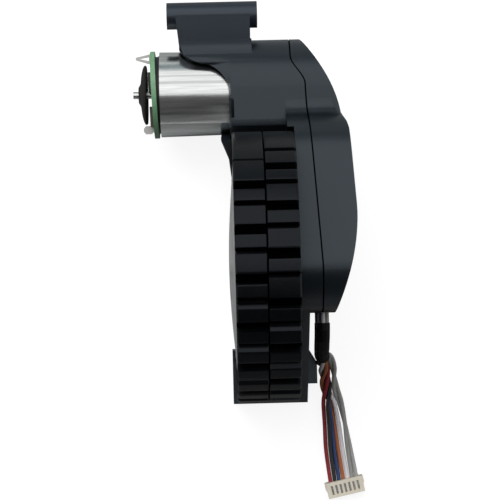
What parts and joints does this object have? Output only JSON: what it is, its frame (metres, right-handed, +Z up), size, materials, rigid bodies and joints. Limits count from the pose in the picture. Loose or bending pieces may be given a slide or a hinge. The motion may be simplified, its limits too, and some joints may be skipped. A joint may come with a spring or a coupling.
{
  "type": "robot vacuum wheel module",
  "caption": "Driven wheel module with a hinge tube, a side-mounted motor with encoder, a gear case, a treaded wheel and a plugged wire harness",
  "frame": {"origin": "centre of the bore of the hinge tube", "axes": "+Y along the hinge bore towards the gear case, +X from the hinge to the free end, +Z up with the module lying on its guard"},
  "size_m": [0.1406, 0.0628, 0.0749],
  "materials": {
    "case_plastic": "moulded dark grey plastic with a fine texture",
    "screw_steel": "dark zinc-plated steel",
    "motor_steel": "bright plated steel with drawing marks",
    "black_plastic": "black moulded plastic",
    "bearing_brass": "turned brass",
    "shaft_steel": "ground steel",
    "tinned_metal": "tinned sheet metal",
    "circuit_board": "green laminate with a satin mask",
    "magnet_ferrite": "dark sintered magnet",
    "red_insulation": "soft wire insulation",
    "gear_plastic": "natural acetal",
    "hub_plastic": "moulded dark plastic",
    "tyre_rubber": "soft blue-black rubber with a matt skin",
    "cap_plastic": "mid grey plastic",
    "blue_insulation": "soft wire insulation",
    "sleeve_plastic": "black heat-shrink sleeve",
    "black_insulation": "soft wire insulation",
    "orange_insulation": "soft wire insulation",
    "white_insulation": "soft wire insulation",
    "grey_insulation": "soft wire insulation",
    "plug_nylon": "cream nylon"
  },
  "bodies": {
    "arm": {"arm_case": "case_plastic", "wheel_guard": "case_plastic", "outer_cover": "case_plastic", "cover_screws": "screw_steel", "motor_can": "motor_steel", "motor_end_cap": "black_plastic", "motor_front_boss": "bearing_brass", "motor_screws": "screw_steel", "motor_terminals": "tinned_metal", "encoder_board": "circuit_board", "board_spacer": "black_plastic", "hall_sensors": "black_plastic", "motor_leads": "red_insulation", "gear_pins": "shaft_steel", "axle_bearings": "shaft_steel", "wire_tails": "blue_insulation", "harness_sleeve": "sleeve_plastic", "red_wire": "red_insulation", "black_wire": "black_insulation", "blue_wire": "blue_insulation", "orange_wire": "orange_insulation", "white_wire": "white_insulation", "grey_wire": "grey_insulation", "pale_grey_wire": "grey_insulation", "plug_housing": "plug_nylon", "plug_contacts": "tinned_metal"},
    "motor_rotor": {"motor_shaft": "shaft_steel", "motor_pinion": "bearing_brass", "encoder_disc": "magnet_ferrite"},
    "first_stage": {"first_gear": "gear_plastic"},
    "second_stage": {"second_gear": "gear_plastic"},
    "third_stage": {"third_gear": "gear_plastic"},
    "wheel": {"wheel_axle": "shaft_steel", "axle_clip": "screw_steel", "output_gear": "gear_plastic", "wheel_hub": "hub_plastic", "tyre": "tyre_rubber", "hub_cap": "cap_plastic", "wheel_screw": "screw_steel"}
  },
  "joints": [
    {"name": "wheel_spin", "type": "hinge", "parent": "arm", "child": "wheel", "pos_m": [0.06988, 0, 0.02125], "axis": [0, 1, 0], "continuous": true},
    {"name": "third_spin", "type": "hinge", "parent": "arm", "child": "third_stage", "pos_m": [0.05663, 0, 0.01561], "axis": [0, 1, 0], "continuous": true},
    {"name": "second_spin", "type": "hinge", "parent": "arm", "child": "second_stage", "pos_m": [0.04555, 0, 0.00492], "axis": [0, 1, 0], "continuous": true},
    {"name": "first_spin", "type": "hinge", "parent": "arm", "child": "first_stage", "pos_m": [0.03425, 0, -0.003], "axis": [0, 1, 0], "continuous": true},
    {"name": "motor_spin", "type": "hinge", "parent": "arm", "child": "motor_rotor", "pos_m": [0.0215, 0, -0.003], "axis": [0, 1, 0], "continuous": true}
  ],
  "couplings": [
    {"joint": "third_spin", "follows": "wheel_spin", "ratio": -2},
    {"joint": "second_spin", "follows": "wheel_spin", "ratio": 5.3333},
    {"joint": "first_spin", "follows": "wheel_spin", "ratio": -15.111},
    {"joint": "motor_spin", "follows": "wheel_spin", "ratio": 54.949}
  ]
}
